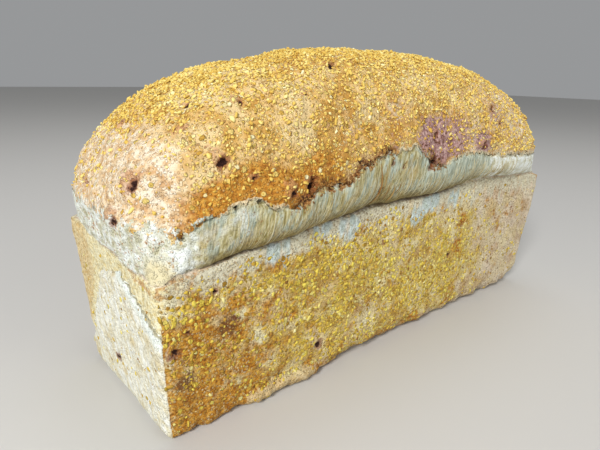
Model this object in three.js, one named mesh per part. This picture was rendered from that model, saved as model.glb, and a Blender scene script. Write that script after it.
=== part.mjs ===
// A tin loaf: one tall loaf of bread baked in a long, open, flared tin.
//
// Millimetres, +Z up. The origin is the middle of the flat base. X runs along the loaf,
// -Y is its front and +Y its back.
//
// The loaf is a single baked piece, so it is one solid. From the base up its skin is:
//   - the tin crust: flat flared walls, pressed against the tin
//   - the crease: the furrow where the dough left the tin
//   - the shred: the torn roll of pale dough that bulges over the crease
//   - the crown: the domed top crust, whose lower edge is the lip
import * as THREE from "three";
import { mergeVertices } from "three/addons/utils/BufferGeometryUtils.js";

// Driving dimensions.
const BASE_LENGTH = 262;
const BASE_WIDTH = 80;
const RIM_HEIGHT = 69; // of the tin
const RIM_FLARE = 4.7; // how far each wall of the tin leans out from base to rim
const LOAF_HEIGHT = 150;
const CROWN_FOOT = 87; // height that the crown's dome springs from
const FOOT_ROUNDING = 5; // along the edge of the base
const TIN_CORNER = 4.5; // radius of the tin's upright corners
const CREASE_DEPTH = 1.5;
const SIDE_BULGE = 8; // how far the shred stands over the tin's long walls
const END_BULGE = 3.5; // and over its end walls
const SIDE_TAPER = 0.23; // share of its width that the crown loses towards its ends
const END_TAPER = 0.06; // share of its length that it loses towards its long sides
const LIP_STEP = 1; // how far the crown's crust stands over the shred
const LIP_THICKNESS = 2.5;

// Height of the crease and of the lip at stations along X, on the front and on the back.
const CREASE = {
  front: [[-136, 69], [-100, 73], [-50, 78], [-20, 80], [15, 79], [53, 83], [85, 81], [136, 76]],
  back: [[-136, 70], [-85, 75], [-25, 79], [45, 77], [136, 75]],
};
const LIP = {
  front: [
    [-138, 86], [-119, 91], [-62, 94], [-47, 104], [-18, 106],
    [2, 98], [31, 101], [52, 97], [94, 91], [138, 87],
  ],
  back: [[-138, 87], [-90, 92], [-30, 97], [20, 94], [70, 97], [138, 88]],
};

// The crown's dome is a product of two arches, one along the loaf and one across it.
const ARCH_ALONG = { power: 2.35, root: 2 };
const ARCH_ACROSS = { power: 3.25, root: 2.6 };

// Facets along X, across Y and on the rows of the shred's roll.
const FACETS_ALONG = 32;
const FACETS_ACROSS = 12;
const ROLL_ROWS = 5;

const rimHalfLength = BASE_LENGTH / 2 + RIM_FLARE;
const rimHalfWidth = BASE_WIDTH / 2 + RIM_FLARE;

// The value at x of a smooth line through [x, value] stations.
function along(stations, x) {
  const last = stations.length - 1;
  if (x <= stations[0][0]) return stations[0][1];
  if (x >= stations[last][0]) return stations[last][1];
  const next = stations.findIndex(([place]) => place > x);
  const [x0, value0] = stations[next - 1];
  const [x1, value1] = stations[next];
  return THREE.MathUtils.lerp(value0, value1, THREE.MathUtils.smoothstep(x, x0, x1));
}

// A height that goes round the loaf: it turns from the front's line to the back's across the ends.
function around(line, x, y) {
  const share = THREE.MathUtils.smoothstep(y, -rimHalfWidth, rimHalfWidth);
  return THREE.MathUtils.lerp(along(line.front, x), along(line.back, x), share);
}

// The rows of the skin from the base to the lip. Each gives, for a place round the loaf, its
// height, how far it stands out from the rim's outline on the long sides and on the ends, and
// how much of the crown's taper it has.
const rows = [
  wallRow(0, FOOT_ROUNDING),
  wallRow(FOOT_ROUNDING * 0.3, FOOT_ROUNDING * 0.3),
  wallRow(FOOT_ROUNDING, 0),
  wallRow(RIM_HEIGHT / 3, 0),
  wallRow((RIM_HEIGHT * 2) / 3, 0),
  (x, y) => ({ z: around(CREASE, x, y) - 2, side: 0, end: 0, taper: 0 }),
  ...Array.from({ length: ROLL_ROWS + 1 }, (_, i) => rollRow(i / ROLL_ROWS)),
  lipRow(0.4),
  lipRow(LIP_THICKNESS),
];

// A row of the tin's flared wall, drawn in by the rounding of the foot.
function wallRow(z, rounding) {
  const out = -RIM_FLARE * (1 - z / RIM_HEIGHT) - rounding;
  return () => ({ z, side: out, end: out, taper: 0 });
}

// A row of the shred's roll, at a share of the way from the crease up to the lip.
function rollRow(share) {
  const swell = Math.sin(Math.min(1, share * 1.2) * (Math.PI / 2));
  return (x, y) => ({
    z: THREE.MathUtils.lerp(around(CREASE, x, y), around(LIP, x, y), share),
    side: THREE.MathUtils.lerp(-CREASE_DEPTH, SIDE_BULGE, swell),
    end: THREE.MathUtils.lerp(-CREASE_DEPTH, END_BULGE, swell),
    taper: swell,
  });
}

// A row of the crown's edge, standing a step out from the shred.
function lipRow(above) {
  return (x, y) => ({
    z: around(LIP, x, y) + above,
    side: SIDE_BULGE + LIP_STEP,
    end: END_BULGE + LIP_STEP,
    taper: 1,
  });
}

// The point of a rounded rectangle, or of one inside it, for u and v from -1 to 1.
function inRoundedRectangle(u, v, halfLength, halfWidth, radius) {
  const point = new THREE.Vector2(u * halfLength, v * halfWidth);
  const core = point.clone().clamp(
    new THREE.Vector2(radius - halfLength, radius - halfWidth),
    new THREE.Vector2(halfLength - radius, halfWidth - radius),
  );
  const out = point.clone().sub(core);
  const reach = Math.max(Math.abs(out.x), Math.abs(out.y));
  return core.add(out.setLength(reach));
}

const arch = (t, { power, root }) => Math.max(0, 1 - Math.abs(t) ** power) ** (1 / root);

// The skin's point for a place u, v on a wall or on the base, in a row counted from the base.
function wallPoint(u, v, row) {
  const { z, side, end, taper } = rows[row](u * rimHalfLength, v * rimHalfWidth);
  const outline = inRoundedRectangle(u, v, rimHalfLength + end, rimHalfWidth + side, TIN_CORNER);
  const x = outline.x * (1 - taper * END_TAPER * v ** 4);
  const y = outline.y * (1 - taper * SIDE_TAPER * u ** 6);
  return new THREE.Vector3(x, y, z);
}

// The skin's point for a place u, v on the crown. The dome never dips under the lip beside it.
function crownPoint(u, v) {
  const point = wallPoint(u, v, rows.length - 1);
  const rise = arch(u, ARCH_ALONG) * arch(v, ARCH_ACROSS);
  point.z = Math.max(point.z, THREE.MathUtils.lerp(CROWN_FOOT, LOAF_HEIGHT, rise));
  return point;
}

// The loaf starts as a box, and each of its corners is moved onto the loaf's skin. The box's
// corners are first drawn towards its edges, so that the rounded edges get enough facets.
function makeLoaf() {
  const wallRows = rows.length - 1;
  const box = new THREE.BoxGeometry(2, 2, 2, FACETS_ALONG, FACETS_ACROSS, wallRows);
  box.deleteAttribute("normal");
  box.deleteAttribute("uv");
  const skin = mergeVertices(box);
  const place = skin.getAttribute("position");
  const towardsEdge = (t) => Math.sin((t * Math.PI) / 2);
  for (let i = 0; i < place.count; i++) {
    const u = towardsEdge(place.getX(i));
    const v = towardsEdge(place.getY(i));
    const row = Math.round(((place.getZ(i) + 1) / 2) * wallRows);
    const onTop = row === wallRows;
    const { x, y, z } = onTop ? crownPoint(u, v) : wallPoint(u, v, row);
    place.setXYZ(i, x, y, z);
  }
  const crust = new THREE.MeshStandardMaterial({ color: 0xd2a463, roughness: 0.85, metalness: 0 });
  const loaf = new THREE.Mesh(skin, crust);
  loaf.name = "loaf";
  return loaf;
}

const tinLoaf = new THREE.Group();
tinLoaf.add(makeLoaf());

export default tinLoaf;
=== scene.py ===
# A tin loaf: a tall loaf baked in a long flared tin, its crust rolled in maize grits.
#
# Lengths are in millimetres until a mesh or a place is written, which is in metres.
# X runs along the loaf, -Y is its front, and the base stands on z = 0.
import math
import random
from functools import partial

import bpy
import numpy as np
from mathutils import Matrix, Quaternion, Vector, noise


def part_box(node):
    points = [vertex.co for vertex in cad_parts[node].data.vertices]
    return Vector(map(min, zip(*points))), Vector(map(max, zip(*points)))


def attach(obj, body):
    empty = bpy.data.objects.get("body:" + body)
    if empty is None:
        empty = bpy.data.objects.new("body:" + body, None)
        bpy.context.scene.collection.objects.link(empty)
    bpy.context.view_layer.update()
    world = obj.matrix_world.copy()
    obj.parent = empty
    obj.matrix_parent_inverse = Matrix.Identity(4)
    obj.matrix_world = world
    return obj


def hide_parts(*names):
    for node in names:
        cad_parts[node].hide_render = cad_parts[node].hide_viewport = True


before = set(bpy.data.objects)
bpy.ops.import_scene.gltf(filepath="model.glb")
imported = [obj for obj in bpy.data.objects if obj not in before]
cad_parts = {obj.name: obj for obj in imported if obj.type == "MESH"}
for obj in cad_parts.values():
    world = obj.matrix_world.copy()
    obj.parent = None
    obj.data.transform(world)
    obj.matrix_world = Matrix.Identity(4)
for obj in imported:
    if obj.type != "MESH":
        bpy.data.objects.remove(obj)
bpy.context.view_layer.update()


# ---------------------------------------------------------------- the studio
# A matt, pale table top in a pale room, under three square lamps: a small strong key lamp high
# on the left, a wide weak one in front on the right and another overhead.
MM = 0.001


def linear(colour):
    """An sRGB hex colour as the linear colour that shaders take."""
    parts = [int(colour[i : i + 2], 16) / 255 for i in (1, 3, 5)]
    return [c / 12.92 if c <= 0.04045 else ((c + 0.055) / 1.055) ** 2.4 for c in parts] + [1.0]


def add(material, kind, *inputs, stops=(), **settings):
    """Adds a node. Inputs go to its open sockets in order and capitalised names to sockets by name,
    a node or a socket is linked, other settings are the node's own, and stops are a ramp's."""
    made = material.node_tree.nodes.new("ShaderNode" + kind)
    for name, value in settings.items():
        if name[0].islower():
            setattr(made, name, value)
    pairs = list(zip([socket for socket in made.inputs if socket.enabled], inputs))
    pairs += [(made.inputs[name], value) for name, value in settings.items() if name[0].isupper()]
    for socket, value in pairs:
        if isinstance(value, bpy.types.Node):
            value = next(output for output in value.outputs if output.enabled)
        if isinstance(value, bpy.types.NodeSocket):
            material.node_tree.links.new(value, socket)
        else:
            socket.default_value = linear(value) if isinstance(value, str) else value
    for _ in stops[2:]:
        made.color_ramp.elements.new(0.5)
    for number, (place, colour) in enumerate(stops):
        made.color_ramp.elements[number].position = place
        made.color_ramp.elements[number].color = linear(colour)
    return made


def new_material(name):
    """An empty node material and its shader."""
    material = bpy.data.materials.new(name)
    material.use_nodes = True
    return material, material.node_tree.nodes["Principled BSDF"]


camera_place = Vector((-196.1, -187.6, 136.1)) * MM
camera_target = Vector((-20.0, 17.2, 53.6)) * MM
camera_roll = math.radians(1.35)
bpy.ops.object.camera_add(location=camera_place)
camera = bpy.context.object
camera.rotation_mode = "QUATERNION"
facing = (camera_target - camera_place).to_track_quat("-Z", "Y")
camera.rotation_quaternion = facing @ Quaternion((0, 0, 1), camera_roll)
camera.data.lens = 29.68
camera.data.clip_start = 0.01
bpy.context.scene.camera = camera

# places and sizes in metres
LAMPS = {
    "key": {"place": (-1.12, -0.6, 0.82), "size": 0.3, "watts": 19.0},
    "fill": {"place": (0.6, -1.25, 0.6), "size": 1.2, "watts": 5.0},
    "top": {"place": (0.25, 0.2, 1.35), "size": 0.8, "watts": 4.0},
}
for name, lamp in LAMPS.items():
    bpy.ops.object.light_add(type="AREA", location=lamp["place"])
    light = bpy.context.object
    light.name = name + "_lamp"
    light.data.size = lamp["size"]
    light.data.energy = lamp["watts"]
    light.rotation_euler = (Vector((0, 0, 0.07)) - light.location).to_track_quat("-Z", "Y").to_euler()

room = bpy.data.worlds.new("pale_room")
room.use_nodes = True
room.node_tree.nodes["Background"].inputs["Color"].default_value = linear("#eef0f2")
room.node_tree.nodes["Background"].inputs["Strength"].default_value = 0.36
bpy.context.scene.world = room
bpy.context.scene.view_settings.view_transform = "Standard"

bpy.ops.object.select_all(action="DESELECT")
bpy.ops.mesh.primitive_plane_add(size=8)
table_top = bpy.context.object
table_top.name = "table_top"
matt_paint, paint = new_material("matt_pale_table_paint")
paint.inputs["Base Color"].default_value = linear("#cbc9c5")
paint.inputs["Roughness"].default_value = 0.8
table_top.data.materials.append(matt_paint)


# ---------------------------------------------------------------- the loaf
# Wheat dough, risen over the rim of a folded steel tin and baked in one piece. The tin presses
# its walls flat. Over the rim the dough tears along a crease and swells into the shred, a roll
# of stretched pale crumb, and the domed crown rides on top with a torn lower edge, the lip.
HALF_LENGTH, HALF_WIDTH, LOAF_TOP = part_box("loaf")[1] / MM
GRIT_STANDS_UP = 1.4  # on the top of the crown
CROWN_TOP = LOAF_TOP - GRIT_STANDS_UP
RIM_HALF_LENGTH = HALF_LENGTH - 4.5  # the lip reaches this far out over the tin's rim
RIM_HALF_WIDTH = HALF_WIDTH - 9.0
RIM_HEIGHT = 69.0
RIM_FLARE = 4.7
END_BULGE = 3.6
SIDE_BULGE = 8.4
TIN_CORNER = 4.5
CROWN_CORNER = 12.0
FOOT_ROUNDING = 5.0
FOOT_ROUNDING_FRONT = 9.5
CREASE_DEPTH = 1.9
LIP_STEP = 1.3
CROWN_FOOT = 87.0
SIDE_TAPER = 0.23
END_TAPER = 0.06
ARCH_ALONG = (2.35, 1 / 2.0)  # the powers of the dome's arches, along the loaf and across it
ARCH_ACROSS = (3.25, 1 / 2.6)

# height of the crease and of the lip at stations along X, on the front and on the back
CREASE_FRONT = [
    (-136, 68), (-118, 70.5), (-100, 73), (-50, 78), (-20, 79.5),
    (15, 79), (55, 82), (120, 79), (136, 77),
]
CREASE_BACK = [(-136, 73), (-85, 75), (-25, 79), (45, 77), (136, 75)]
LIP_FRONT = [
    (-140, 88), (-130, 83), (-121, 88), (-108, 93), (-101, 93), (-93, 90), (-82, 90.5),
    (-74, 94.5), (-57, 95), (-46, 101), (-30, 105), (-14, 106), (-6, 103), (2, 97),
    (11, 95), (20, 97.5), (42, 99), (57, 96.5), (138, 91),
]
LIP_BACK = [(-138, 88), (-90, 92), (-30, 97), (20, 94), (70, 97), (138, 90)]

# The block of dough: a cube cut into strips and divided evenly. Its sides are rows of points
# from the foot to the crown's flank, and its top is the rest of the crown.
STRIPS = (29, 10, 12)
DIVISIONS = 3
ROWS = STRIPS[2] * 2**DIVISIONS
FOOT_ROWS, WALL_ROWS, SHRED_ROWS = 4, 32, 25
FLANK_SHARE = 0.87  # how far out on the dome, of its half width, the flank's rows end

bpy.ops.object.select_all(action="DESELECT")
bpy.ops.mesh.primitive_cube_add(size=2)
loaf = bpy.context.object
loaf.name = "whole_loaf"
bpy.ops.object.mode_set(mode="EDIT")
for axis, strips in enumerate(STRIPS):
    for cut in range(1, strips):
        place, across = [0, 0, 0], [0, 0, 0]
        place[axis] = 2 * cut / strips - 1
        across[axis] = 1
        bpy.ops.mesh.select_all(action="SELECT")
        bpy.ops.mesh.bisect(plane_co=place, plane_no=across)
bpy.ops.object.mode_set(mode="OBJECT")
divide = loaf.modifiers.new("divide", "SUBSURF")
divide.subdivision_type = "SIMPLE"
divide.levels = divide.render_levels = DIVISIONS
bpy.ops.object.modifier_apply(modifier=divide.name)


def smooth(low, high, value):
    """0 below low, 1 above high and a soft step between. With high under low it goes the other way."""
    share = np.clip((value - low) / (high - low), 0, 1)
    return share * share * (3 - 2 * share)


def mixed(a, b, share):
    return a + (b - a) * share


def lumps(points, size, seed, octaves=2):
    """Soft random heights, from about -1 to 1, whose lumps are about size mm across."""
    away = Vector((seed * 31.7, seed * 11.3, seed * 5.9))
    return np.array([noise.fractal(Vector(p) / size + away, 1.0, 2.0, octaves) for p in points.tolist()])


def along(stations, x):
    """The heights at x of a smooth line through stations."""
    places, heights = np.array(stations, float).T
    after = np.clip(np.searchsorted(places, x), 1, len(places) - 1)
    return mixed(heights[after - 1], heights[after], smooth(places[after - 1], places[after], x))


def around(front, back, x, y):
    """A line that goes round the loaf: the front's, turning into the back's across the ends."""
    return mixed(along(front, x), along(back, x), smooth(-RIM_HALF_WIDTH, RIM_HALF_WIDTH, y))


def arch(t, shape):
    return np.clip(1 - np.abs(t) ** shape[0], 0, 1) ** shape[1]


def dome(u, v):
    return CROWN_FOOT + (CROWN_TOP - CROWN_FOOT) * arch(u, ARCH_ALONG) * arch(v, ARCH_ACROSS)


def even(t, half_size, shape):
    """Spreads points from -1 to 1 evenly over an arch of the dome, out to where the flank starts."""
    out = np.linspace(0, FLANK_SHARE, 400)
    rise = arch(out, shape) * (CROWN_TOP - CROWN_FOOT)
    length = np.concatenate([[0], np.cumsum(np.hypot(np.diff(out) * half_size, np.diff(rise)))])
    return np.sign(t) * np.interp(np.abs(t) * length[-1], length, out) / FLANK_SHARE


def plan(u, v, side, end, taper):
    """Places seen from above: a rectangle with round corners, tapered and rounder on the crown."""
    half = np.stack([RIM_HALF_LENGTH + end + 0 * u, RIM_HALF_WIDTH + side + 0 * u], 1)
    point = np.stack([u, v], 1) * half
    corner = mixed(TIN_CORNER, CROWN_CORNER, taper + 0 * u)[:, None]
    core = np.clip(point, corner - half, half - corner)
    out = point - core
    out *= (np.abs(out).max(1) / np.maximum(np.hypot(*out.T), 1e-9))[:, None]
    x, y = (core + out).T
    return x * (1 - taper * END_TAPER * v**4), y * (1 - taper * SIDE_TAPER * u**6)


count = len(loaf.data.vertices)
block = np.empty(count * 3)
loaf.data.vertices.foreach_get("co", block)
block = block.reshape(-1, 3)
u = even(block[:, 0], HALF_LENGTH, ARCH_ALONG)
v = even(block[:, 1], HALF_WIDTH, ARCH_ACROSS)
row = (block[:, 2] + 1) / 2 * ROWS
rim_x, rim_y = plan(u, v, 0, 0, 0)
rim = np.stack([rim_x, rim_y, np.zeros(count)], 1)
at_corner = np.exp(-(np.hypot(rim_x + 136, rim_y + 42) / 17) ** 2)  # the front's left corner
no_lip = np.maximum(at_corner, smooth(-124, -132, rim_x) * smooth(34, 12, rim_y))

# the tear is ragged: it wanders over a few centimetres and is nicked every few millimetres
crease = around(CREASE_FRONT, CREASE_BACK, rim_x, rim_y)
crease += 0.7 * lumps(rim, 14, 1) + 0.3 * lumps(rim, 4, 2)
lip = around(LIP_FRONT, LIP_BACK, rim_x, rim_y)
lip_ragged = 1 + 0.5 * smooth(-84, -76, rim_x) * smooth(-4, -14, rim_x) * smooth(-20, -30, rim_y)
lip += lip_ragged * 1.3 * lumps(rim, 16, 3) + 1.2 * lumps(rim, 6, 4) + 0.4 * lumps(rim, 2.6, 5)

# where on the dome, counted from its middle, each column of points has its lip
HALVINGS = 30  # of the stretch that it may be in
inner, outer = np.full(count, FLANK_SHARE), np.ones(count)
for _ in range(HALVINGS):
    middle = (inner + outer) / 2
    under = dome(u * middle, v * middle) < lip
    outer = np.where(under, middle, outer)
    inner = np.where(under, inner, middle)
lip_share = inner

# the foot and the wall of the tin
wall_end = FOOT_ROWS + WALL_ROWS
shred_end = wall_end + 1 + SHRED_ROWS
foot_radius = mixed(FOOT_ROUNDING, FOOT_ROUNDING_FRONT, smooth(-70, -30, rim_x) * smooth(125, 95, rim_x))
foot_radius = mixed(FOOT_ROUNDING, foot_radius, smooth(-20, -40, rim_y))
foot_radius += 8 * np.exp(-(np.hypot(rim_x - 134, rim_y + 42) / 16) ** 2)
foot_angle = np.clip(row / FOOT_ROWS, 0, 1) * math.pi / 2
wall_share = np.clip((row - FOOT_ROWS) / WALL_ROWS, 0, 1)
z_foot = foot_radius * (1 - np.cos(foot_angle))
z_wall = mixed(foot_radius, crease - 1.2, wall_share)
z = np.where(row <= FOOT_ROWS, z_foot, z_wall)
inset = np.where(row <= FOOT_ROWS, foot_radius * (1 - np.sin(foot_angle)), 0)
side = np.minimum(0, -RIM_FLARE * (1 - z / RIM_HEIGHT)) - inset
end = side.copy()
taper = np.zeros(count)
scale = np.ones(count)

# the shred's roll, from the crease to just behind the lip, flatter at the front's left corner
shred_share = np.clip((row - wall_end - 1) / SHRED_ROWS, 0, 1) ** 1.5
swell = (1 - (1 - np.minimum(1, shred_share * 1.3)) ** 2) ** 0.58
swell = mixed(swell, np.minimum(1, 0.15 + 0.85 * shred_share**0.7), 0.8 * no_lip * (row > wall_end + 1))
tuck = LIP_STEP * smooth(0.86, 1, shred_share) * (1 - no_lip)
furrow = CREASE_DEPTH * (1 - 0.95 * no_lip)
on_shred = (row > wall_end) & (row <= shred_end)
z = np.where(on_shred, mixed(crease, lip - 0.8 * no_lip, shred_share), z)
side = np.where(on_shred, mixed(-furrow, SIDE_BULGE - tuck, swell), side)
end = np.where(on_shred, mixed(-furrow, END_BULGE - tuck, swell), end)
taper = np.where(on_shred, swell, taper)
scale = np.where(on_shred, mixed(1, lip_share, shred_share), scale)

# the crown: its flank from the lip up, then the cap
on_crown = row > shred_end
flank_share = np.clip((row - shred_end - 1) / (ROWS - shred_end - 1), 0, 1)
CURL = 0.45  # spreads the flank's rows evenly over its curl
from_rim = mixed((1 - lip_share) ** CURL, (1 - FLANK_SHARE) ** CURL, flank_share)
scale = np.where(on_crown, 1 - from_rim ** (1 / CURL), scale)
side = np.where(on_crown, SIDE_BULGE, side)
end = np.where(on_crown, END_BULGE, end)
taper = np.where(on_crown, 1, taper)
z = np.where(on_crown, dome(u * scale, v * scale), z)
z = np.where(on_crown & (flank_share == 0), lip - 0.5 * (1 - no_lip), z)
x, y = plan(u * scale, v * scale, side, end, taper)
skin = np.stack([x, y, z], 1)


def write_points(mesh, points):
    mesh.vertices.foreach_set("co", (points * MM).ravel())
    mesh.update()


def outward(mesh):
    """The direction out of the skin at each point."""
    found = np.empty(len(mesh.vertices) * 3)
    mesh.vertex_normals.foreach_get("vector", found)
    return found.reshape(-1, 3)


def near(points, place, across):
    """How near points are to a place: 1 at its middle and 0 from half of across away."""
    far = np.linalg.norm(points - place, axis=1) / (across / 2)
    return np.clip(1 - far * far, 0, 1) ** 2


write_points(loaf.data, skin)
normal = outward(loaf.data)

# heights over the lip and the crease, in millimetres, tell the crusts apart
over_lip = np.where(on_crown, np.maximum(z - lip, 0.2) + 14 * smooth(0, 1, flank_share), z - lip)
over_lip = np.where(row == ROWS, 60, over_lip)
over_crease = np.where(row > wall_end + 1, np.maximum(z - crease, 0.1), z - crease)
crown_zone = on_crown.astype(float)
shred_zone = on_shred.astype(float)
wall_zone = ((row <= wall_end) & (row > 0)).astype(float)
front = smooth(-30, -40, y)
at_end, at_side = np.abs(block[:, 0]) > 0.9999, np.abs(block[:, 1]) > 0.9999
end_zone = wall_zone * at_end * np.where(at_side, 0.5, 1.0)

# the crown's crust is lumpy, with soft hollows and shallow wrinkles
relief = crown_zone * (
    1.3 * lumps(skin, 42, 11) + 1.1 * lumps(skin, 15, 12) + 0.6 * lumps(skin, 5, 13) - 1.3
)
# the shred's lumps are drawn out upwards, and the walls' are faint
relief += shred_zone * (
    0.8 * lumps(skin * (1, 1, 0.5), 20, 14) + 0.3 * lumps(skin * (1, 1, 0.3), 4, 15) - 0.2
)
relief += shred_zone * no_lip * (0.9 * lumps(skin, 9, 51) + 0.5 * lumps(skin, 3.5, 52))
relief += wall_zone * (
    0.5 * lumps(skin, 26, 16) + 0.32 * lumps(skin, 7, 17) + 0.2 * lumps(skin, 3, 18) - 0.3
)

# burst blisters are low mounds with a hole at one edge: (x, y, z), width of the mound, its rise,
# width of the hole, its depth
BLISTERS = [
    ((-134, -26, 100), 11, 1.8, 3.6, 1.8),
    ((-139, -20, 88), 10, 1.6, 3.4, 1.8),
    ((-110, -45, 109), 8, 1.4, 3.8, 2.2),
    ((-111, -22, 125), 5, 0.6, 2.3, 1.3),
    ((-97, -36, 127), 7, 1.1, 2.3, 1.3),
    ((-138, 10, 96), 8, 1.4, 1.6, 0.8),
    ((-75, -52, 97), 6, 0.4, 6.0, 3.8),
    ((-84, -52, 96), 8, 1.2, 3.0, 1.8),
    ((-125, 2, 116), 7, 1.0, 1.4, 0.7),
    ((-117, -32, 118), 6, 0.8, 1.4, 0.7),
    ((-99, -50, 102), 5, 0.5, 2.4, 1.3),
    ((-71, -42, 130), 5, 0.8, 1.8, 0.9),
    ((-51, -33, 142), 7, 0.9, 3.6, 1.6),
    ((-17, -20, 149), 8, 0.9, 3.4, 1.0),
    ((5, -51, 111), 7, 0.8, 3.8, 2.6),
    ((0, -53, 100), 9, 0.6, 6.0, 3.4),
    ((46, -52, 104), 9, 1.9, 4.6, 3.0),
    ((58, -48, 122), 5, 0.5, 3.4, 2.2),
    ((66, -50, 114), 4, 0.5, 3.2, 2.0),
    ((-28, -52, 101), 4, 0.4, 2.8, 2.0),
    ((-20, -52, 98), 3, 0.4, 2.4, 1.8),
    ((-60, 30, 141), 7, 1.0, 3.4, 1.8),
    ((20, 38, 135), 8, 1.0, 4.0, 2.2),
    ((75, 48, 112), 9, 1.4, 4.4, 2.8),
    ((-30, 52, 108), 8, 1.2, 4.2, 2.6),
    ((104, 12, 132), 7, 1.1, 3.4, 1.8),
    ((137, 8, 104), 8, 1.4, 3.8, 2.4),
]
HOLE_SIDE = np.array([0.76, -0.65, -0.5])  # a hole lies low on its mound, to +X and the front
HOLE_OFFSET = 0.3  # from the middle of the mound, of the mound's width
HOLE_HALF_WIDTH, HOLE_HALF_LENGTH = 0.36, 0.62  # of the width given, so that it is an oval
ragged = 1 + 0.5 * lumps(skin, 4.5, 21) + 0.45 * lumps(skin, 1.7, 27)
mound, hole, bursts = np.zeros(count), np.full(count, 4.0), np.zeros(count)
for place, across, rise, hole_across, depth in BLISTERS:
    far = np.linalg.norm(skin - place, axis=1)
    rounded = np.clip(1 - (far * ragged / (across / 2)) ** 2, 0, 1)
    out = normal[far.argmin()]
    aside = HOLE_SIDE - out * (HOLE_SIDE @ out)
    aside /= np.linalg.norm(aside)
    from_hole = skin - skin[far.argmin()] - aside * HOLE_OFFSET * across
    across_hole = from_hole @ aside
    along_hole = np.sqrt(np.maximum((from_hole**2).sum(1) - across_hole**2, 0))
    from_middle = np.hypot(across_hole / HOLE_HALF_WIDTH, along_hole / HOLE_HALF_LENGTH)
    hole_far = from_middle * ragged / hole_across
    sunk = depth * np.clip(1 - hole_far**2, 0, 1) ** 0.7
    bursts += (crown_zone + shred_zone) * (rise * rounded - sunk)
    mound = np.maximum(mound, (crown_zone + shred_zone) * smooth(0, 0.5, rounded))
    hole = np.where(on_crown | on_shred, np.minimum(hole, hole_far), hole)

# holes in the wall's crust, where gas burst against the tin: (x, y, z), width, depth
WALL_HOLES = [
    ((-112, -44, 60), 2.6, 1.4),
    ((-123, -42, 47), 3.0, 1.6),
    ((-103, -43, 46), 2.6, 1.2),
    ((-79, -43, 49), 2.4, 1.3),
    ((-57, -41, 17), 4.4, 1.5),
    ((-128, -42, 40), 4.4, 1.8),
    ((-132, 4, 18), 3.6, 1.0),
    ((-20, -44, 60), 2.2, 0.9),
    ((40, -43, 40), 2.6, 1.0),
    ((104, -44, 58), 2.2, 0.9),
    ((88, -42, 24), 2.2, 0.9),
    ((60, 43, 48), 3.2, 1.4),
    ((-70, 43, 40), 3.0, 1.3),
    ((0, 42, 22), 2.6, 1.2),
    ((133, -10, 40), 3.0, 1.2),
]
for place, across, depth in WALL_HOLES:
    hole_far = np.linalg.norm(skin - place, axis=1) * ragged / (across / 2)
    relief -= wall_zone * depth * np.clip(1 - hole_far**2, 0, 1)
    hole = np.where(wall_zone > 0, np.minimum(hole, hole_far), hole)

# a long soft fold in the crown's flank over the tallest part of the tear
fold = np.exp(-(((z - 121 - 0.08 * x) / 4.5) ** 2)) * smooth(-84, -60, x) * smooth(-8, -30, x) * front
relief -= crown_zone * 0.9 * fold

# at the front's left corner the shred is a puffy cheek with a furrow on its right
cheek_furrow = 1.2 * np.exp(-(((x + 121) / 2.4) ** 2)) * front
relief += shred_zone * (0.8 * near(skin, (-134, -42, 80), 24) - cheek_furrow)

# where there is no lip, nothing stands up on either side of its line
relief *= 1 - no_lip * (crown_zone + shred_zone) * smooth(7, 0, np.abs(over_lip))
relief += bursts

# a dark nub of crust overhangs the tear beside its tallest part
relief += 2.6 * crown_zone * near(skin, (-2, -53, 103), 13)

# the tin's ends are folded sheet: the edges of each fold print slanting grooves in the end crust,
# and the crust between them stands a little prouder. (z, y) along the steep and the soft edge:
STEEP_EDGE = [(0, -62), (38, -54), (46, -43), (54, -30.6), (59, -20.3), (62.4, -12.5), (70, 4)]
SOFT_EDGE = [(0, 50), (16.5, 36), (39.5, 21), (52, 12), (57, 8), (70, 0)]
fold_y = np.where(x < 0, y, -y) + 0.8 * lumps(skin, 12, 24) + 0.3 * lumps(skin, 4, 25)
steep = (fold_y - np.interp(z, *np.array(STEEP_EDGE).T)) * 0.62
soft = (np.interp(z, *np.array(SOFT_EDGE).T) - fold_y) * 0.35
top = (62.2 - 0.3 * (fold_y + 12.5) - z) * 0.9
imprint = np.clip(np.minimum(np.minimum(steep, soft), top), -6, 6)
groove = np.exp(-(((imprint + 0.7) / 0.8) ** 2))
relief += end_zone * (0.7 * smooth(-0.4, 0.9, imprint) - 0.9 * groove)

# the front's lower edge didn't fill the tin: it is knobbly, with a flap of dough squeezed under it
low_edge = smooth(15, 3, z) * front * wall_zone
relief += low_edge * (1.6 * lumps(skin, 13, 22) + 1.5 * lumps(skin, 5, 26) - 0.7)
flap = smooth(-101, -93, x) * smooth(-55, -63, x) * front * wall_zone
flap_top = 8.5 + 1.5 * lumps(skin, 10, 23)
relief += flap * (2.1 * smooth(flap_top, flap_top - 2.2, z) * smooth(-0.5, 2.5, z))
relief -= flap * 1.2 * np.exp(-(((z - flap_top - 0.8) / 0.9) ** 2))

skin = skin + normal * relief[:, None]
skin[:, 2] = np.where(row <= 1, np.maximum(skin[:, 2], 0), skin[:, 2])
skin[:, 2] = np.where(row == 0, 0, skin[:, 2])
write_points(loaf.data, skin)
normal = outward(loaf.data)


def patches(*spots):
    """Soft round patches on the skin, each given as its strength, its place and its width."""
    return sum(strength * near(skin, place, across) for strength, place, across in spots)


# how the crust is baked, mostly from 0 to 1, at each point of the skin
x, y, z = skin.T
lower_front = front * smooth(30, 6, over_lip)
left_wall = wall_zone * front * smooth(66, 44, z) * smooth(-62, -112, x)
drifts = smooth(-0.55, 0.35, lumps(skin, 20, 42) + 0.35 * lumps(skin, 7, 46))
singed_left = smooth(-88, -78, x) * smooth(-20, -30, x)
# by the nub the brown runs down onto the shred under its overhang: partly scorched crust, partly painted
# shadow
nub_brown_and_shadow = smooth(-9, -5, x) * smooth(16, 8, x)
singed_and_nub_shadow = front * np.clip(singed_left + nub_brown_and_shadow, 0, 1)
unbrowned = front * smooth(-30, -22, x) * smooth(-2, -9, x)
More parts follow.
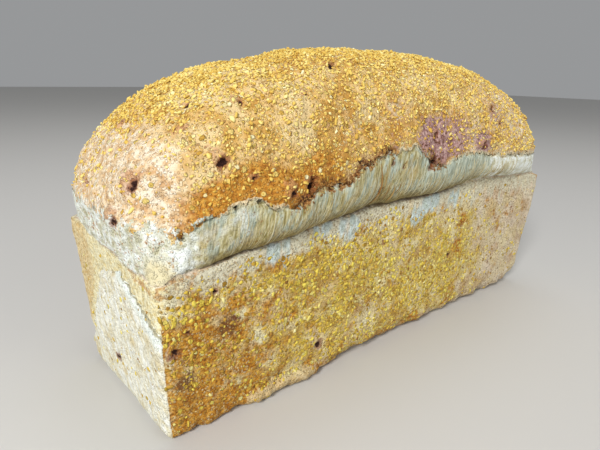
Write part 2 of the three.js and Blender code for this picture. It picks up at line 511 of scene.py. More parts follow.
# how near the skin is to the lip's line: the brown edge is wide and the pale one thin
lip_brown = np.where(over_lip > 0, smooth(8, 0.5, over_lip), smooth(-4.0, -0.5, over_lip))
lip_pale = np.where(over_lip > 0, smooth(2.4, 0.4, over_lip), smooth(-2.2, -0.4, over_lip))
beside_end = np.exp(-np.maximum(x + 133, 0) / 10) * smooth(44, 62, z)
BAKE = {
    "over_lip": over_lip,
    "over_crease": over_crease,
    "hole": hole,
    "mound": mound,
    "imprint": imprint,
    # how far past the fold's steep edge: it places the painted highlight and the painted shadow along
    # that edge
    "past_steep": np.where(imprint > -2, np.clip(steep, -6, 9), 9),
    "on_end": np.clip(end_zone + 0.85 * wall_zone * front * beside_end, 0, 1),
    # the half of each end that browned more, towards the back
    "oven_side": end_zone * smooth(8, 30, y) * smooth(-0.5, -3, imprint),
    # amber where the crust is thin over steam: the band over the lip and the wall's lower left
    "amber": np.clip(
        crown_zone * lower_front * smooth(-46, -76, x) * 1.3
        + crown_zone * 0.2 * lower_front * smooth(40, -10, x)
        + crown_zone * 0.35 * smooth(0.1, 0.7, lumps(skin, 26, 32))
        + left_wall * 0.7
        + wall_zone * front * 0.5 * smooth(18, 4, z) * smooth(60, 0, x)
        + 0.6 * wall_zone * (1 - end_zone) * smooth(0.05, 0.6, lumps(skin, 14, 33)),
        0, 1,
    ),
    # floury and pinkish where the dough stayed dry
    "floury": crown_zone * np.clip(
        0.9 * smooth(-114, -131, x) * smooth(130, 100, z) * smooth(-46, -34, y)
        + patches((0.65, (-138, -32, 111), 36), (0.6, (-138, -36, 97), 40), (0.5, (-21, -49, 122), 26))
        + 0.2 * smooth(-100, -124, x) + 0.5 * smooth(0, 90, x)
        + 0.4 * smooth(0.2, 0.8, lumps(skin, 24, 34)),
        0, 1,
    ),
    # purple-brown where it scorched
    "scorched": np.clip(
        crown_zone * patches(
            (1.3, (2, -52, 107), 38), (1.4, (47, -52, 104), 22), (0.7, (22, -52, 107), 50),
            (0.35, (-26, -52, 108), 34), (0.6, (62, -49, 119), 24), (0.5, (30, 50, 108), 46),
        )
        + wall_zone * patches(
            (1.0, (-124, -41, 26), 15), (0.8, (-106, -43, 44), 20), (0.5, (-118, -43, 58), 16),
        ),
        0, 1,
    ),
    # where the crown runs out over the crumb with no clear edge
    "frayed": np.maximum(no_lip, 0.3 * unbrowned),
    # browned edges and flakes along the torn lip, on both its sides; under the nub the brown on the
    # shred is partly painted shadow
    "browned_and_nub_shadow": singed_and_nub_shadow * lip_brown * (0.72 + 0.4 * lumps(skin, 9, 53)),
    # the thin pale edge of the lip where it didn't brown
    "rim": (1 - singed_and_nub_shadow) * (1 - no_lip) * lip_pale,
    # creamy where the torn crumb meets the tin's corner
    "creamy": shred_zone * np.clip(patches((1.3, (-136, -43, 70), 26)), 0, 1),
    # torn crumb so thin that it looks white and bluish
    "blanched": np.clip(
        patches((1.2, (-136, -38, 80), 60), (0.4, (-105, -50, 86), 30))
        + 0.9 * smooth(-118, -130, x) + smooth(38, 72, x),
        0, 1,
    ),
    # greyish-blue under the crease, where the wall's crust is thin
    "window": wall_zone * np.clip(patches(
        (1.6, (-61, -45, 77), 18), (1.8, (15, -45, 76), 21), (0.9, (-84, -45, 68), 28),
        (1.2, (-44, -45, 72), 24), (1.0, (4, -45, 69), 22), (0.9, (36, -45, 74), 20),
    ), 0, 1),
}
BAKE["floury"] *= 1 - 0.85 * lower_front * smooth(-124, -112, x) * smooth(-60, -90, x)
BAKE["shaded"] = smooth(9, 0.2, over_crease) * (1 - BAKE["blanched"]) * shred_zone
BAKE["greyish"] = shred_zone * smooth(-30, 10, x)
BAKE["fibrous"] = shred_zone * (1 - 0.9 * BAKE["blanched"] * smooth(40, 0, x))
BAKE["below_crease"] = wall_zone * smooth(-22, -2, over_crease) * (1 - 0.6 * left_wall)
BAKE["flecked"] = wall_zone * (1 - 0.9 * end_zone)
BAKE["doughy"] = wall_zone * front * smooth(-0.1, 0.5, lumps(skin, 13, 54)) * (1 - 0.5 * end_zone)
on_flap = 1.3 * flap * smooth(flap_top + 1, flap_top - 2, z)
BAKE["doughy"] = np.maximum(BAKE["doughy"] * (1 - 0.5 * left_wall), on_flap)
BAKE["drifted"] = wall_zone * front * smooth(0.35, 0.8, drifts) * smooth(-3, -14, over_crease)
BAKE["drifted"] *= smooth(2, 12, z) * smooth(80, 55, x) * (1 - 0.6 * left_wall)
BAKE["patchy"] = lumps(skin, 22, 55) + 0.7 * lumps(skin, 9, 56)
# brown streaks where the crease runs out on the near end, and its arc at the front's left
streak_height = np.interp(-y, [10, 20, 28, 39, 43], [73, 70, 66, 65, 64])
end_streak = np.exp(-(((z - streak_height) / 1.6) ** 2)) * smooth(-128, -134, x) * smooth(-12, -20, y)
arc = np.exp(-(((z - 68 - 0.18 * (x + 129)) / 1.3) ** 2)) * front
arc *= smooth(-136, -131, x) * smooth(-112, -120, x)
BAKE["streak"] = wall_zone * np.clip(1.2 * end_streak + 1.2 * arc, 0, 1)
# how thickly the grits lie: thick on the crown's top and back, thin towards its left end, and
# in drifts on the walls, fewest on the ends and towards the front's right end
crown_grits = crown_zone * smooth(0.5, 4, over_lip) * (
    0.38 + 0.62 * smooth(-42, -6, y + 0.9 * (z - 128)) + 0.12 * smooth(-60, 0, x)
)
crown_grits *= 1 - 0.8 * BAKE["floury"] * smooth(0, -60, x)
crown_grits *= 1 - 0.3 * BAKE["floury"]
crown_grits *= 1 - 0.75 * BAKE["scorched"]
crown_grits *= 1 - 0.35 * np.clip(BAKE["amber"], 0, 1) * front
band = smooth(1, 12, z) * smooth(-1, -16, over_crease + 5 * lumps(skin, 9, 44))
far_end = smooth(14, 84, x + 0.25 * z - 10 + 16 * lumps(skin, 16, 45))
wall_grits = (0.25 + 0.75 * drifts) * band * (1 - 0.96 * end_zone) * (1 - 0.92 * far_end * front)
wall_grits *= 1 - 0.5 * left_wall
wall_grits *= 1 - 0.9 * BAKE["window"]
BAKE["gritty"] = np.clip(crown_grits + wall_zone * wall_grits, 0, 1) * smooth(0.9, 1.4, hole)
for name, values in BAKE.items():
    found = loaf.data.attributes.new(name, "FLOAT", "POINT")
    found.data.foreach_set("value", values.astype(np.float32))

# Baked crust and torn crumb. The eye gets a matt, sandy golden crown, a pale grey-cream
# shred with upright fibres, and a tan wall that is paler on the ends and streaked with amber.
crust, crust_shader = new_material("baked_crust_and_torn_crumb")
on_crust = partial(add, crust)
where = on_crust("TexCoord").outputs["Object"]
baked = {name: on_crust("Attribute", attribute_name=name).outputs["Fac"] for name in BAKE}

SPOTS = {  # soft noise: the size of its spots in millimetres and its detail
    "mottle": (8.0, 4.0), "blotches": (3.2, 4.0), "frays": (2.2, 3.0), "speckle": (1.6, 4.0),
    "flecks": (1.3, 3.0), "pores": (1.2, 4.0), "fine": (0.7, 2.0),
}
# The same, but drawn out: its size, how many times longer, and the turn about X, Y and Z. The
# torn crumb's fibres are finer than 0.8 mm, and are drawn as coarse as that to show.
STREAKS = {
    "fibres": (0.8, 6.0, (0, 0.14, 0)), "bundles": (4.0, 3.0, (0, 0.25, 0)),
    "stains": (5.0, 2.5, (0, 0.4, 0)), "drips": (4.0, 3.5, (0, 0.12, 0)),
    "scratches": (2.6, 2.6, (-0.55, 0, 0)),
}
noise_in = {}
for name, (size, detail) in SPOTS.items():
    noise_in[name] = on_crust("TexNoise", where, Scale=1 / (size * MM), Detail=detail, Roughness=0.58)
for name, (size, longer, turn) in STREAKS.items():
    drawn_out = on_crust("Mapping", where, Scale=(1, 1, longer), Rotation=turn, vector_type="TEXTURE")
    noise_in[name] = on_crust("TexNoise", drawn_out, Scale=1 / (size * MM), Detail=3.5, Roughness=0.55)


def grains(size, share):
    """Ragged round grains of size mm in a share of the places, and a random value for each."""
    shake = on_crust("TexNoise", where, Scale=1.7 / (size * MM), Detail=1.0).outputs["Color"]
    moved = on_crust("VectorMath", shake, (0.55 * size * MM,) * 3, where, operation="MULTIPLY_ADD")
    cells = on_crust("TexVoronoi", moved, Scale=1 / (size * MM))
    chance = on_crust("SeparateColor", cells.outputs["Color"])
    there = on_crust("Math", chance, share, operation="LESS_THAN")
    body = on_crust("MapRange", cells, 0.52, 0.34, 0.0, there, interpolation_type="SMOOTHSTEP")
    return body, chance.outputs["Green"]


def layered(colour, layers):
    """Lays colours over a colour. Each layer is: a value, a noise that roughens its edge and how
    much, the values at which it starts and is full, how strong it is then, and its colour."""
    for value, rough, amount, start, full, strength, over in layers:
        if amount:
            value = on_crust("Math", noise_in[rough], amount, value, operation="MULTIPLY_ADD")
        start, full = start + amount / 2, full + amount / 2
        share = on_crust("MapRange", value, start, full, 0.0, strength, interpolation_type="SMOOTHSTEP")
        colour = on_crust("Mix", share, colour, over, data_type="RGBA")
    return colour


# the meal's own grains are about half a millimetre, and are drawn 1.1 mm across to show
sand, noise_in["each_grain"] = grains(1.1, 0.85)
grit, noise_in["each_grit"] = grains(2.3, on_crust("Math", baked["gritty"], 0.9, operation="MULTIPLY"))

HUES = {  # colours that vary with a noise, or from grain to grain: (value, colour) along it
    "brown": ("fine", (0.35, "#5f3414"), (0.5, "#8e5c2c"), (0.65, "#b4894e")),
    # of the crown
    "gold": ("mottle", (0.36, "#b88638"), (0.5, "#d2a65a"), (0.64, "#e4c68c")),
    "amber": ("speckle", (0.34, "#9a5c14"), (0.5, "#c4862c"), (0.66, "#dca648")),
    "flour": ("blotches", (0.36, "#d2a878"), (0.48, "#e4c89e"), (0.6, "#f3e5cc")),
    "scorch": ("speckle", (0.36, "#56292e"), (0.48, "#a67e86"), (0.64, "#d2b4ae")),
    "sand": ("each_grain", (0.1, "#94622a"), (0.3, "#d0a048"), (0.65, "#e9c870"), (1.0, "#f7e8ae")),
    "pale_sand": ("each_grain", (0.1, "#c0966a"), (0.3, "#dcbc92"), (0.6, "#edd7b6"), (1.0, "#fbf3e2")),
    "crown_grit": ("each_grit", (0.1, "#c4973c"), (0.4, "#dcbb5e"), (0.7, "#e8d080"), (1.0, "#f2e8b4")),
    # of the shred
    "crumb": ("fibres", (0.34, "#887d48"), (0.48, "#ada16e"), (0.64, "#ccc69e")),
    "cool": ("fibres", (0.34, "#889281"), (0.5, "#a8b1a0"), (0.64, "#c8d1c2")),
    "ochre": ("fibres", (0.38, "#93712e"), (0.6, "#c4a55c")),
    "white": ("blotches", (0.36, "#bbb797"), (0.46, "#dadbc9"), (0.57, "#eff4ee")),
    "shade": ("fibres", (0.34, "#604f20"), (0.66, "#a28f50")),
    # of the walls and the ends
    "tan": ("mottle", (0.34, "#cdb594"), (0.5, "#e0cfb6"), (0.66, "#eee3d2")),
    "golden": ("mottle", (0.36, "#b0893a"), (0.46, "#cfae58"), (0.56, "#e2cc84"), (0.66, "#ece3ba")),
    "toasted": ("speckle", (0.35, "#965a12"), (0.5, "#c08526"), (0.65, "#dba94c")),
    "pale_end": ("scratches", (0.36, "#e6ddbc"), (0.5, "#f1efdc"), (0.62, "#f8f9f0")),
    "cream": ("speckle", (0.35, "#dec98a"), (0.6, "#f4eecb")),
    "oven_tan": ("speckle", (0.35, "#c99f60"), (0.62, "#e6d09c")),
    "wall_sand": ("each_grain", (0.1, "#8a6028"), (0.4, "#c4a258"), (1.0, "#efe4bc")),
    "wall_grit": ("each_grit", (0.1, "#aa822a"), (0.35, "#cdab3a"), (0.7, "#e0cb54"), (1.0, "#ebdf94")),
    "bluish": ("blotches", (0.38, "#b4c4ba"), (0.6, "#d8e8e8")),
}
hue = {}
for name, (noise_name, *stops) in HUES.items():
    hue[name] = on_crust("ValToRGB", noise_in[noise_name], stops=stops)

# the crown
sandy = layered(hue["sand"], [
    (baked["amber"], "", 0, 0.1, 0.9, 0.65, hue["amber"]),
    (baked["floury"], "", 0, 0.1, 0.6, 1.0, hue["pale_sand"]),
])
crown = layered(hue["gold"], [
    (baked["patchy"], "mottle", 1.0, 0.15, 0.6, 0.45, "#bc8230"),
    (baked["patchy"], "mottle", 1.0, -0.1, -0.6, 0.6, "#ecd8a6"),
    (baked["amber"], "mottle", 1.2, 0.1, 0.9, 1.0, hue["amber"]),
    (baked["floury"], "mottle", 1.0, 0.05, 0.85, 1.0, hue["flour"]),
    (sand, "", 0, 0.0, 1.0, 0.68, sandy),
    (baked["scorched"], "blotches", 1.6, 0.2, 0.7, 0.85, hue["scorch"]),
    (baked["mound"], "speckle", 3.0, 0.5, 1.1, 0.6, "#c08a64"),
    (baked["browned_and_nub_shadow"], "speckle", 2.2, 0.3, 0.9, 0.95, hue["brown"]),
    (baked["browned_and_nub_shadow"], "flecks", 4.0, 1.0, 1.2, 0.9, "#35170a"),
    (baked["rim"], "speckle", 2.0, 0.5, 0.9, 0.85, "#e3d6b2"),
    (grit, "", 0, 0.02, 0.4, 0.45, "#8a6228"),
    (grit, "", 0, 0.35, 0.75, 1.0, hue["crown_grit"]),
])

# the shred, its fibres running up from the crease
shred = layered(hue["crumb"], [
    (noise_in["bundles"], "", 0, 0.42, 0.6, 1.0, hue["cool"]),
    (noise_in["stains"], "", 0, 0.54, 0.66, 0.4, hue["ochre"]),
    (baked["greyish"], "bundles", 1.4, 0.2, 0.9, 0.85, hue["cool"]),
    (baked["shaded"], "bundles", 1.0, 0.0, 0.9, 0.85, hue["shade"]),
    (baked["blanched"], "blotches", 0.8, 0.1, 0.8, 1.0, hue["white"]),
    (baked["frayed"], "mottle", 3.0, 1.1, 1.6, 0.35, "#c9bf98"),
    (noise_in["speckle"], "", 0, 0.6, 0.68, 0.6, "#8a6a34"),
    (baked["frayed"], "speckle", 3.0, 1.15, 1.5, 0.7, "#b98c58"),
    (baked["creamy"], "blotches", 1.4, 0.2, 0.8, 0.85, "#dccfa2"),
    (baked["rim"], "speckle", 2.0, 0.5, 0.9, 0.8, "#d9ceaa"),
    # under the nub this brown on the shred is partly painted shadow under the overhang
    (baked["browned_and_nub_shadow"], "speckle", 2.4, 0.3, 0.8, 1.0, hue["brown"]),
    (baked["browned_and_nub_shadow"], "flecks", 4.0, 1.0, 1.2, 0.9, "#35170a"),
])

# the walls: tan, golden under the grits, and much paler on the ends
end_face = layered(hue["pale_end"], [
    (baked["patchy"], "blotches", 2.6, 0.0, 0.8, 0.7, "#d6c696"),
    (noise_in["mottle"], "", 0, 0.56, 0.68, 0.5, "#c9b27c"),
    # painted light on the fold's print: a bluish-white painted highlight inside the steep edge, where
    # the prouder crust faces the light, and a dark line of painted shadow in the groove along it
    (baked["past_steep"], "blotches", 3.0, 8.0, 2.5, 0.9, "#f1f8f0"),
    (baked["past_steep"], "", 0, 0.9, 0.1, 0.75, "#a0925e"),
    (baked["imprint"], "speckle", 0.8, -0.7, -1.2, 1.0, hue["cream"]),
    (baked["oven_side"], "blotches", 1.6, 0.3, 0.9, 0.7, hue["oven_tan"]),
])
sand_off_ends = on_crust("Math", baked["on_end"], -0.8, sand, operation="MULTIPLY_ADD")
wall = layered(hue["tan"], [
    (baked["gritty"], "mottle", 0.5, 0.0, 0.3, 1.0, hue["golden"]),
    (baked["patchy"], "mottle", 1.4, 0.2, 0.7, 0.45, "#b3874a"),
    (baked["patchy"], "mottle", 1.4, -0.1, -0.6, 0.5, "#e8daae"),
    (baked["amber"], "mottle", -2.4, 0.25, 0.8, 1.0, hue["toasted"]),
    (baked["doughy"], "blotches", 2.0, 0.35, 0.9, 0.65, "#e4d2a2"),
    (baked["drifted"], "blotches", 2.4, 0.6, 1.2, 0.6, "#d2b443"),
    (baked["below_crease"], "drips", 2.6, 0.5, 0.9, 0.85, "#dcd8be"),
    (baked["on_end"], "speckle", 1.2, 0.35, 0.65, 1.0, end_face),
    (baked["scorched"], "speckle", 2.0, 0.35, 0.75, 0.9, "#6c3c16"),
    (baked["flecked"], "flecks", 4.0, 1.35, 1.65, 0.75, "#764c1e"),
    (sand_off_ends, "", 0, 0.0, 1.0, 0.5, hue["wall_sand"]),
    (baked["window"], "drips", 2.4, 0.35, 0.9, 0.85, hue["bluish"]),
    (grit, "", 0, 0.02, 0.4, 0.5, "#7d5a22"),
    (grit, "", 0, 0.35, 0.75, 1.0, hue["wall_grit"]),
    (baked["streak"], "frays", 3.5, 0.5, 1.1, 0.7, "#bb8038"),
])

# the three crusts meet at the crease and at the lip, and the holes go through them; painted shadow
# darkens a thin line in the crease and the holes' middles
fray_width = on_crust("Math", baked["frayed"], 24.0, 2.0, operation="MULTIPLY_ADD")
centred_frays = on_crust("Math", noise_in["frays"], 0.5, operation="SUBTRACT")
lip_edge = on_crust("Math", centred_frays, fray_width, baked["over_lip"], operation="MULTIPLY_ADD")
ragged_crease = on_crust("Math", centred_frays, 1.6, baked["over_crease"], operation="MULTIPLY_ADD")
from_crease = on_crust("Math", ragged_crease, operation="ABSOLUTE")
# painted shadow: a thin dark line in the crease, left out where the crumb is blanched
crease_shadow_line = on_crust("Math", baked["blanched"], 3.0, from_crease, operation="MULTIPLY_ADD")
colour = layered(wall, [
    (ragged_crease, "", 0, -0.4, 0.4, 1.0, shred),
    # painted shadow in the crease
    (crease_shadow_line, "", 0, 1.2, 0.3, 0.8, "#46340f"),
    (lip_edge, "", 0, -0.3, 0.6, 1.0, crown),
    # the holes: a brown ring of the crust's own colour round a near-black middle, which is partly its
    # darker crust and partly painted shade in the hole
    (baked["hole"], "speckle", 1.6, 1.5, 1.0, 0.7, "#8a4c2a"),
    (baked["hole"], "speckle", 1.6, 0.9, 0.6, 1.0, "#34170e"),
])
crust.node_tree.links.new(colour.outputs[2], crust_shader.inputs["Base Color"])
crust_shader.inputs["Roughness"].default_value = 0.78
crust_shader.inputs["Specular IOR Level"].default_value = 0.3

# the skin's own grain, in millimetres: sand, half-buried grits, pores and the fibres of the shred
grain, threads = 0.0, 0.0
for pattern, deep in ((noise_in["pores"], 0.9), (noise_in["blotches"], 1.0), (sand, 0.5), (grit, 0.5)):
    grain = on_crust("Math", pattern, deep, grain, operation="MULTIPLY_ADD")
for noise_name, deep in (("fibres", 0.55), ("bundles", 0.45), ("pores", 0.5)):
    threads = on_crust("Math", noise_in[noise_name], deep, threads, operation="MULTIPLY_ADD")
grain_or_threads = on_crust("Mix", baked["fibrous"], grain, threads)
bumps = on_crust("Bump", Height=grain_or_threads, Strength=1.0, Distance=1.0 * MM)
crust.node_tree.links.new(bumps.outputs["Normal"], crust_shader.inputs["Normal"])

loaf.data.materials.append(crust)
loaf.data.shade_smooth()
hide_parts("loaf")
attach(loaf, "root")


# ---------------------------------------------------------------- the maize grits
# Chips of coarse-ground maize, mostly 1 to 2.5 mm long, hard, angular and waxy yellow. The dough
# was rolled in them. They stick out of the crown, and the tin pressed those on the walls flat.
CHIP_SHAPES = 10
CHIP_FACETS = 5  # broken faces on each
random.seed(7)
chips = []
for _ in range(CHIP_SHAPES):
    bpy.ops.object.select_all(action="DESELECT")
    bpy.ops.mesh.primitive_ico_sphere_add(subdivisions=1, radius=1)
    chip = bpy.context.object
    bpy.ops.object.mode_set(mode="EDIT")
    for _ in range(CHIP_FACETS):
        facet = Vector([random.gauss(0, 1) for _ in range(3)]).normalized()
        bpy.ops.mesh.select_all(action="SELECT")
        bpy.ops.mesh.bisect(
            plane_co=facet * random.uniform(0.3, 0.6), plane_no=facet, use_fill=True, clear_outer=True
        )
    bpy.ops.mesh.select_all(action="SELECT")
    bpy.ops.mesh.remove_doubles(threshold=0.2)
    bpy.ops.mesh.quads_convert_to_tris()
    bpy.ops.mesh.normals_make_consistent()
    bpy.ops.object.mode_set(mode="OBJECT")
    corners = np.array([vertex.co[:] for vertex in chip.data.vertices])
    corners *= [random.uniform(1.0, 1.5), random.uniform(0.75, 1.1), random.uniform(0.4, 0.75)]
    chips.append((corners, np.array([face.vertices[:] for face in chip.data.polygons])))
    bpy.data.objects.remove(chip)

face_count = len(loaf.data.polygons)
face_corners = np.empty(face_count * 4, int)
loaf.data.polygons.foreach_get("vertices", face_corners)
face_corners = face_corners.reshape(-1, 4)
face_area = np.empty(face_count)
loaf.data.polygons.foreach_get("area", face_area)
face_area /= MM * MM
face_middle = skin[face_corners].mean(1)
face_normal = normal[face_corners].mean(1)
face_normal /= np.linalg.norm(face_normal, axis=1)[:, None]
at_face = {name: values[face_corners].mean(1) for name, values in BAKE.items()}
draw = np.random.default_rng(20)


def scatter(density, spacing, most):
    """Spots on the loaf's skin: about density of them are tried for each square mm, none is kept
    closer to another than spacing mm, and at most so many are kept."""
    chosen = np.repeat(np.arange(face_count), draw.poisson(density * face_area))
    draw.shuffle(chosen)
    shares = draw.random((len(chosen), 2))
    a, b, c, d = (skin[face_corners[chosen, i]] for i in range(4))
    s, t = shares[:, :1], shares[:, 1:]
    found = (a * (1 - s) + b * s) * (1 - t) + (d * (1 - s) + c * s) * t
    cells = np.floor(found / spacing).astype(int)
    kept, taken = [], {}
    for i, (place, cell) in enumerate(zip(found.tolist(), cells.tolist())):
        close = [
            j
            for i0 in (-1, 0, 1) for i1 in (-1, 0, 1) for i2 in (-1, 0, 1)
            for j in taken.get((cell[0] + i0, cell[1] + i1, cell[2] + i2), ())
        ]
        if all(math.dist(found[j], place) >= spacing for j in close):
            taken.setdefault(tuple(cell), []).append(i)
            kept.append(i)
        if len(kept) == most:
            break
    return found[kept], face_normal[chosen[kept]], chosen[kept]


def turned(count):
    """Random rotations, one 3 by 3 matrix each."""
    w, x, y, z = draw.normal(size=(4, count))
    size = np.sqrt(w * w + x * x + y * y + z * z)
    w, x, y, z = w / size, x / size, y / size, z / size
    return np.stack([
        np.stack([1 - 2 * (y * y + z * z), 2 * (x * y - w * z), 2 * (x * z + w * y)], 1),
        np.stack([2 * (x * y + w * z), 1 - 2 * (x * x + z * z), 2 * (y * z - w * x)], 1),
        np.stack([2 * (x * z - w * y), 2 * (y * z + w * x), 1 - 2 * (x * x + y * y)], 1),
    ], 1)


def join_bits(name, material, points, faces, tone, cells):
    """Makes one piece of many small bits, each of one tone and with a spot of its own on the map."""
    mesh = bpy.data.meshes.new(name)
    points, faces = np.concatenate(points) * MM, np.concatenate(faces)
    tone, cells = np.concatenate(tone).astype(np.float32), np.concatenate(cells).astype(np.float32)
    mesh.vertices.add(len(points))
    mesh.vertices.foreach_set("co", points.ravel())
    mesh.loops.add(faces.size)
    mesh.loops.foreach_set("vertex_index", faces.ravel())
    mesh.polygons.add(len(faces))
    mesh.polygons.foreach_set("loop_start", np.arange(0, faces.size, 3))
    mesh.update(calc_edges=True)
    mesh.attributes.new("tone", "FLOAT", "POINT").data.foreach_set("value", tone)
    mesh.uv_layers.new(name="OFBake").uv.foreach_set("vector", cells.ravel())
    piece = bpy.data.objects.new(name, mesh)
    bpy.context.scene.collection.objects.link(piece)
    piece.data.materials.append(material)
    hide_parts("loaf")
    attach(piece, "root")
    return piece


def lay_chips(name, material, places, normals, sizes, press, sink, tones):
    """Makes one piece of many chips. press flattens them on the skin, sink is how deep they sit."""
    points, faces, tone, cells, first = [], [], [], [], 0
    kinds = draw.integers(0, CHIP_SHAPES, len(places))
    rotation = turned(len(places))
    side_by_side = math.ceil(math.sqrt(len(places)))
    for i, kind in enumerate(kinds):
        corners, triangles = chips[kind]
        turned_corners = corners @ rotation[i].T * sizes[i] / 2
        height = turned_corners @ normals[i]
        flat = turned_corners + np.outer(height * (press - 1), normals[i])
        points.append(flat + places[i] + normals[i] * sizes[i] * (0.5 - sink[i]) * press)
        faces.append(triangles + first)
        tone.append(np.full(len(corners), tones[i]))
        cell = np.array([i % side_by_side, i // side_by_side]) + 0.5
        cells.append((cell + 0.3 * corners[triangles.ravel()][:, :2]) / side_by_side)
        first += len(corners)
    return join_bits(name, material, points, faces, tone, cells)


def toned_material(name, roughness, gloss, stops):
    """A material whose colour runs along (tone, colour) stops by the tone of each bit."""
    material, shader = new_material(name)
    tone = add(material, "Attribute", attribute_name="tone").outputs["Fac"]
    colour = add(material, "ValToRGB", tone, stops=stops)
    material.node_tree.links.new(colour.outputs["Color"], shader.inputs["Base Color"])
    shader.inputs["Roughness"].default_value = roughness
    shader.inputs["Specular IOR Level"].default_value = gloss
    return material


# Maize grit: cut horny endosperm. It is waxy, so it shines a little, and each chip is one tone
# from cream through yellow to toasted amber.
maize = toned_material("toasted_maize_grit", 0.6, 0.25, [
    (0.0, "#845520"), (0.2, "#b98a36"), (0.42, "#d8b250"),
    (0.62, "#e7ca6a"), (0.82, "#f0de8c"), (1.0, "#f6eec0"),
])

MOST_CHIPS = 8000  # of one size; the crown's medium and small chips stop at it
CROWN_PRESS, WALL_PRESS, FLAKE_PRESS = 0.75, 0.35, 0.3  # share of its thickness that a bit keeps
crown_faces = at_face["over_lip"] > 1.0
thick = crown_faces * at_face["gritty"]
CROWN_GRITS = [
    # name, chips per square mm tried where they are thickest, how sharply they thin out,
    # closest spacing, smallest and largest size
    ("crown_grits_coarse", 0.36, 1.5, 1.6, 1.5, 2.6),
    ("crown_grits_medium", 0.8, 1.5, 1.1, 1.2, 1.9),
    ("crown_grits_small", 0.8, 0.8, 0.9, 0.8, 1.4),
]
# each size is laid in a left and a right half, so that no piece gets too many triangles
for name, share, thinning, spacing, smallest, largest in CROWN_GRITS:
    places, normals, faces = scatter(share * thick**thinning, spacing, MOST_CHIPS)
    sizes = smallest + (largest - smallest) * draw.random(len(places)) ** 1.6
    sink = draw.uniform(0.2, 0.5, len(places))
    toast = 0.5 * at_face["amber"][faces] + 0.25 * at_face["scorched"][faces]
    patchy = 0.12 * at_face["patchy"][faces]
    tones = np.clip(draw.normal(0.6, 0.13, len(places)) - 0.3 * toast - patchy, 0.02, 1)
    for half_name, half in (("_left", places[:, 0] < 0), ("_right", places[:, 0] >= 0)):
        lay_chips(
            name + half_name, maize, places[half], normals[half], sizes[half], CROWN_PRESS,
            sink[half], tones[half],
        )

# Pressed maize grit: the same chips, greener and duller where they baked against the tin.
pressed = toned_material("pressed_maize_grit", 0.5, 0.4, [
    (0.0, "#82551c"), (0.25, "#b48a2c"), (0.5, "#d2b23e"), (0.75, "#e3d056"), (1.0, "#efe6a8"),
])

wall_faces = (at_face["over_crease"] < -2) & (face_middle[:, 2] > 1.5)
WALL_GRITS = [
    # name, chips per square mm tried where they are thickest, smallest and largest size
    ("wall_grits_large", 0.2, 1.8, 3.0),
    ("wall_grits_small", 0.3, 0.8, 1.7),
]
for name, share, smallest, largest in WALL_GRITS:
    places, normals, faces = scatter(share * wall_faces * at_face["gritty"], 1.3, MOST_CHIPS)
    sizes = draw.uniform(smallest, largest, len(places))
    dull = 0.2 * at_face["amber"][faces] + 0.12 * at_face["patchy"][faces]
    tones = np.clip(draw.normal(0.54, 0.2, len(places)) - dull, 0.02, 1)
    half_sunk = np.full(len(places), 0.5)
    lay_chips(name, pressed, places, normals, sizes, WALL_PRESS, half_sunk, tones)


# ---------------------------------------------------------------- the torn edge's strands and flakes
# Where the dough tore, gluten pulled out into strands, most of them hair-thin, that dried across
# the shred, and flakes of browned crust hang along the lip.
STRAND_RINGS = 7
bpy.ops.object.select_all(action="DESELECT")
bpy.ops.mesh.primitive_cylinder_add(
    vertices=4, radius=1, depth=1, end_fill_type="TRIFAN", location=(0, 0, 0.5)
)
strand = bpy.context.object
bpy.ops.object.mode_set(mode="EDIT")
for ring_number in range(1, STRAND_RINGS):
    bpy.ops.mesh.select_all(action="SELECT")
    bpy.ops.mesh.bisect(plane_co=(0, 0, ring_number / STRAND_RINGS), plane_no=(0, 0, 1))
bpy.ops.mesh.select_all(action="SELECT")
bpy.ops.mesh.quads_convert_to_tris()
bpy.ops.object.mode_set(mode="OBJECT")
strand.data.transform(strand.matrix_world)
strand_points = np.array([vertex.co[:] for vertex in strand.data.vertices])
strand_faces = np.array([face.vertices[:] for face in strand.data.polygons])
bpy.data.objects.remove(strand)

# the sides of the skin as rings of points, one for each row, going round from the front's left
long_cells, wide_cells = STRIPS[0] * 2**DIVISIONS, STRIPS[1] * 2**DIVISIONS
i = np.rint((block[:, 0] + 1) / 2 * long_cells).astype(int)
j = np.rint((block[:, 1] + 1) / 2 * wide_cells).astype(int)
round_count = 2 * (long_cells + wide_cells)
rings = np.zeros((ROWS + 1, round_count), int)
sides = (
    (j == 0, i),
    (i == long_cells, long_cells + j),
    (j == wide_cells, long_cells + wide_cells + long_cells - i),
    (i == 0, 2 * long_cells + wide_cells + wide_cells - j),
)
for on_side, column in sides:
    rings[np.rint(row[on_side]).astype(int), column[on_side] % round_count] = np.nonzero(on_side)[0]


def on_rings(values, at_row, at_column):
    """Values of the skin at places between its rings' points."""
    r, c = np.floor(at_row).astype(int), np.floor(at_column).astype(int)
    s, t = (at_row - r)[:, None], (at_column - c)[:, None]
    a, b = values[rings[r, c % round_count]], values[rings[r, (c + 1) % round_count]]
    d, e = values[rings[r + 1, c % round_count]], values[rings[r + 1, (c + 1) % round_count]]
    return (a * (1 - t) + b * t) * (1 - s) + (d * (1 - t) + e * t) * s


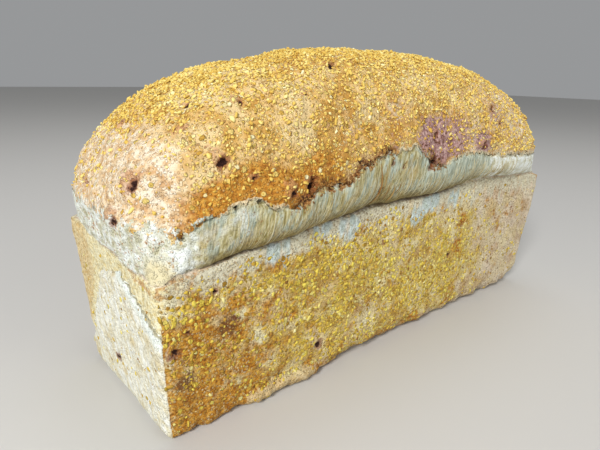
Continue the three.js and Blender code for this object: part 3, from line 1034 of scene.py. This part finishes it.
def lay_strands(name, material, how_many, columns, thickness, lift, lean, tones):
    """Makes one piece of many strands that run up the shred, each drawn along the skin. They rise
    lift mm off it at most, and lean is about how many columns they cross for each row."""
    points, faces, tone, cells, first = [], [], [], [], 0
    side_by_side = math.ceil(math.sqrt(how_many))
    middle_row = wall_end + 14
    for number in range(how_many):
        start = draw.uniform(wall_end + 2, middle_row)
        stop = draw.uniform(middle_row, shred_end)
        column = draw.uniform(*columns)
        share = np.linspace(0, 1, 12)
        wave = draw.normal(0, 0.8) * np.sin(share * draw.uniform(2, 6))
        drift = lean * (stop - start) * draw.uniform(-0.6, 1.6) + wave
        at_row, at_column = mixed(start, stop, share), column + drift * share
        path, out = on_rings(skin, at_row, at_column), on_rings(normal, at_row, at_column)
        path = path + out * (lift * draw.uniform(0.2, 1) * np.sin(share * math.pi))[:, None]
        z_at = strand_points[:, 2]
        centre = np.stack([np.interp(z_at, share, path[:, axis]) for axis in range(3)], 1)
        away = np.stack([np.interp(z_at, share, out[:, axis]) for axis in range(3)], 1)
        beside = np.cross(away, path[-1] - path[0])
        beside /= np.linalg.norm(beside, axis=1)[:, None]
        thin = thickness * draw.uniform(0.6, 1.5) / 2 * (1 - 0.85 * np.abs(2 * z_at - 1) ** 3)
        across, up = (strand_points[:, 0] * thin)[:, None], (strand_points[:, 1] * thin)[:, None]
        points.append(centre + beside * across + away * up)
        faces.append(strand_faces + first)
        tone.append(np.full(len(strand_points), tones[number]))
        cell = np.array([number % side_by_side, number // side_by_side]) + 0.5
        spot = strand_points[strand_faces.ravel()][:, [0, 2]] * (0.3, 0.5) - (0, 0.25)
        cells.append((cell + spot) / side_by_side)
        first += len(strand_points)
    return join_bits(name, material, points, faces, tone, cells)


# Stretched crumb and browned flakes: dull and dry, from burnt brown through ochre to near white.
torn = toned_material("dried_crumb_strand", 0.8, 0.25, [
    (0.0, "#4e2a10"), (0.25, "#8a5e2c"), (0.5, "#b09860"), (0.75, "#c8c09c"), (1.0, "#dcdccc"),
])

STRANDS = [
    # name, how many, the skin's columns where they start, thickness, lift, lean, mean tone
    ("shred_strands", 350, (24, 190), 0.18, 0.2, 0.04, 0.68),
    ("stretched_strands", 9, (84, 100), 0.5, 0.8, 0.15, 0.42),
]
for name, how_many, columns, thickness, lift, lean, mean_tone in STRANDS:
    tones = np.clip(draw.normal(mean_tone, 0.1, how_many), 0.1, 1)
    lay_strands(name, torn, how_many, columns, thickness, lift, lean, tones)

# the flakes are chips of crust, laid where the lip is browned
MOST_FLAKES = 900
flake_faces = (np.abs(at_face["over_lip"]) < 3.5) * at_face["browned_and_nub_shadow"]
places, normals, faces = scatter(0.5 * flake_faces, 1.3, MOST_FLAKES)
sizes = draw.uniform(0.8, 2.4, len(places))
tones = np.clip(draw.normal(0.3, 0.14, len(places)), 0, 1)
sink = np.full(len(places), 0.3)
flakes = lay_chips("lip_flakes", torn, places, normals, sizes, FLAKE_PRESS, sink, tones)
